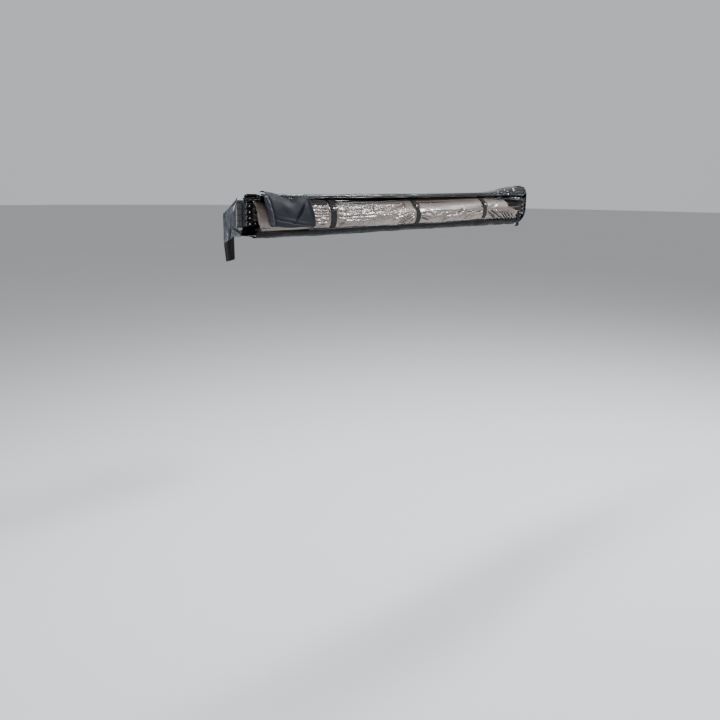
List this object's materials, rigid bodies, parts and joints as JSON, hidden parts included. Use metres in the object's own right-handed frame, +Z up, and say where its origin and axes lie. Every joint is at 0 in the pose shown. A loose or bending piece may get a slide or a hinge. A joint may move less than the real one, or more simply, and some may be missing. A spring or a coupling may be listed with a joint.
{
  "type": "vehicle side awning",
  "caption": "Folding fan awning packed along its backing rail, with arms that swing on one upright bolt, telescopic legs and a strapped canopy in an opened bag.",
  "frame": {"origin": "centre of the underside of the middle mounting bracket's foot", "axes": "+X along the rail from the hinge to the arm tips, +Y towards the vehicle, +Z up"},
  "size_m": [2.4363, 0.2555, 0.3674],
  "materials": {
    "black_powder_coat": "satin black powder coat",
    "black_aluminium": "satin black anodised extrusion",
    "grey_cast_metal": "grey die-cast",
    "anodised_aluminium": "clear anodised tube",
    "zinc": "zinc-plated fastener",
    "black_plastic": "moulded black plastic",
    "pale_nylon": "natural nylon bearing",
    "taupe_canopy": "coated ripstop canopy cloth",
    "black_pvc": "semi-gloss PVC-coated bag cloth",
    "slate_pvc": "slate-grey matt PVC-coated cloth",
    "black_webbing": "woven black webbing"
  },
  "bodies": {
    "root": {"backing_rail": "black_powder_coat", "hinge_bracket": "black_powder_coat", "pivot_bolt": "zinc", "pivot_nut": "zinc", "pivot_sleeve": "pale_nylon", "mount_bracket_1": "black_powder_coat", "mount_bracket_2": "black_powder_coat", "mount_bracket_3": "black_powder_coat", "bag_roll": "black_pvc", "bag_apron": "black_pvc", "bag_sling": "black_pvc", "bag_end_cap": "black_pvc", "bag_tail_flap": "black_pvc", "hinge_flap": "slate_pvc", "flap_tab": "black_webbing", "strap_1": "black_webbing", "strap_2": "black_webbing", "strap_3": "black_webbing", "strap_buckle_1": "black_plastic", "strap_buckle_2": "black_plastic", "strap_buckle_3": "black_plastic", "canopy_wrap": "taupe_canopy", "canopy_panel_1": "taupe_canopy"},
    "arm_1": {"arm_1_channel": "black_aluminium", "arm_1_knuckle": "grey_cast_metal", "arm_1_leg_pin": "zinc", "arm_1_tip": "black_plastic", "canopy_panel_2": "taupe_canopy"},
    "leg_1": {"leg_1_outer": "anodised_aluminium"},
    "leg_lock_1": {"leg_1_collar": "black_plastic"},
    "leg_inner_1": {"leg_1_inner": "anodised_aluminium", "leg_1_foot": "black_plastic"},
    "arm_2": {"arm_2_channel": "black_aluminium", "arm_2_knuckle": "grey_cast_metal", "arm_2_leg_pin": "zinc", "arm_2_tip": "black_plastic", "canopy_panel_3": "taupe_canopy"},
    "leg_2": {"leg_2_outer": "anodised_aluminium"},
    "leg_lock_2": {"leg_2_collar": "black_plastic"},
    "leg_inner_2": {"leg_2_inner": "anodised_aluminium", "leg_2_foot": "black_plastic"},
    "arm_3": {"arm_3_channel": "black_aluminium", "arm_3_knuckle": "grey_cast_metal", "arm_3_leg_pin": "zinc", "arm_3_tip": "black_plastic", "canopy_panel_4": "taupe_canopy"},
    "leg_3": {"leg_3_outer": "anodised_aluminium"},
    "leg_lock_3": {"leg_3_collar": "black_plastic"},
    "leg_inner_3": {"leg_3_inner": "anodised_aluminium", "leg_3_foot": "black_plastic"},
    "arm_4": {"arm_4_channel": "black_aluminium", "arm_4_knuckle": "grey_cast_metal", "arm_4_leg_pin": "zinc", "arm_4_tip": "black_plastic"},
    "leg_4": {"leg_4_outer": "anodised_aluminium"},
    "leg_lock_4": {"leg_4_collar": "black_plastic"},
    "leg_inner_4": {"leg_4_inner": "anodised_aluminium", "leg_4_foot": "black_plastic"}
  },
  "joints": [
    {"name": "arm_1_swing", "type": "hinge", "parent": "root", "child": "arm_1", "pos_m": [-1.224, -0.107, 0.139], "axis": [0, 0, -1], "range_deg": [0, 67.5], "deforming": ["canopy_wrap", "canopy_panel_1", "bag_apron", "strap_1", "strap_2", "strap_3", "strap_buckle_1", "strap_buckle_2", "strap_buckle_3", "hinge_flap", "flap_tab", "bag_tail_flap"]},
    {"name": "leg_1_fold", "type": "hinge", "parent": "arm_1", "child": "leg_1", "pos_m": [1.161, -0.107, 0.1515], "axis": [0, -1, 0], "range_deg": [0, 90]},
    {"name": "leg_1_extend", "type": "slide", "parent": "leg_1", "child": "leg_inner_1", "axis": [-1, 0, 0], "range_m": [0, 0.85]},
    {"name": "leg_1_twist_lock", "type": "hinge", "parent": "leg_1", "child": "leg_lock_1", "pos_m": [0.021, -0.107, 0.1515], "axis": [1, 0, 0], "range_deg": [0, 90]},
    {"name": "arm_2_swing", "type": "hinge", "parent": "arm_1", "child": "arm_2", "pos_m": [-1.224, -0.107, 0.111], "axis": [0, 0, -1], "range_deg": [0, 67.5], "deforming": ["canopy_panel_2"]},
    {"name": "leg_2_fold", "type": "hinge", "parent": "arm_2", "child": "leg_2", "pos_m": [1.161, -0.107, 0.1235], "axis": [0, -1, 0], "range_deg": [0, 90]},
    {"name": "leg_2_extend", "type": "slide", "parent": "leg_2", "child": "leg_inner_2", "axis": [-1, 0, 0], "range_m": [0, 0.85]},
    {"name": "leg_2_twist_lock", "type": "hinge", "parent": "leg_2", "child": "leg_lock_2", "pos_m": [0.021, -0.107, 0.1235], "axis": [1, 0, 0], "range_deg": [0, 90]},
    {"name": "arm_3_swing", "type": "hinge", "parent": "arm_2", "child": "arm_3", "pos_m": [-1.224, -0.107, 0.083], "axis": [0, 0, -1], "range_deg": [0, 67.5], "deforming": ["canopy_panel_3"]},
    {"name": "leg_3_fold", "type": "hinge", "parent": "arm_3", "child": "leg_3", "pos_m": [1.161, -0.107, 0.0955], "axis": [0, -1, 0], "range_deg": [0, 90]},
    {"name": "leg_3_extend", "type": "slide", "parent": "leg_3", "child": "leg_inner_3", "axis": [-1, 0, 0], "range_m": [0, 0.85]},
    {"name": "leg_3_twist_lock", "type": "hinge", "parent": "leg_3", "child": "leg_lock_3", "pos_m": [0.021, -0.107, 0.0955], "axis": [1, 0, 0], "range_deg": [0, 90]},
    {"name": "arm_4_swing", "type": "hinge", "parent": "arm_3", "child": "arm_4", "pos_m": [-1.224, -0.107, 0.055], "axis": [0, 0, -1], "range_deg": [0, 67.5], "deforming": ["canopy_panel_4"]},
    {"name": "leg_4_fold", "type": "hinge", "parent": "arm_4", "child": "leg_4", "pos_m": [1.161, -0.107, 0.0675], "axis": [0, -1, 0], "range_deg": [0, 90]},
    {"name": "leg_4_extend", "type": "slide", "parent": "leg_4", "child": "leg_inner_4", "axis": [-1, 0, 0], "range_m": [0, 0.85]},
    {"name": "leg_4_twist_lock", "type": "hinge", "parent": "leg_4", "child": "leg_lock_4", "pos_m": [0.021, -0.107, 0.0675], "axis": [1, 0, 0], "range_deg": [0, 90]}
  ],
  "couplings": [
    {"joint": "leg_1_fold", "follows": "arm_1_swing", "ratio": 1.3333},
    {"joint": "arm_2_swing", "follows": "arm_1_swing", "ratio": 1},
    {"joint": "leg_2_fold", "follows": "arm_1_swing", "ratio": 1.3333},
    {"joint": "arm_3_swing", "follows": "arm_1_swing", "ratio": 1},
    {"joint": "leg_3_fold", "follows": "arm_1_swing", "ratio": 1.3333},
    {"joint": "arm_4_swing", "follows": "arm_1_swing", "ratio": 1},
    {"joint": "leg_4_fold", "follows": "arm_1_swing", "ratio": 1.3333}
  ]
}
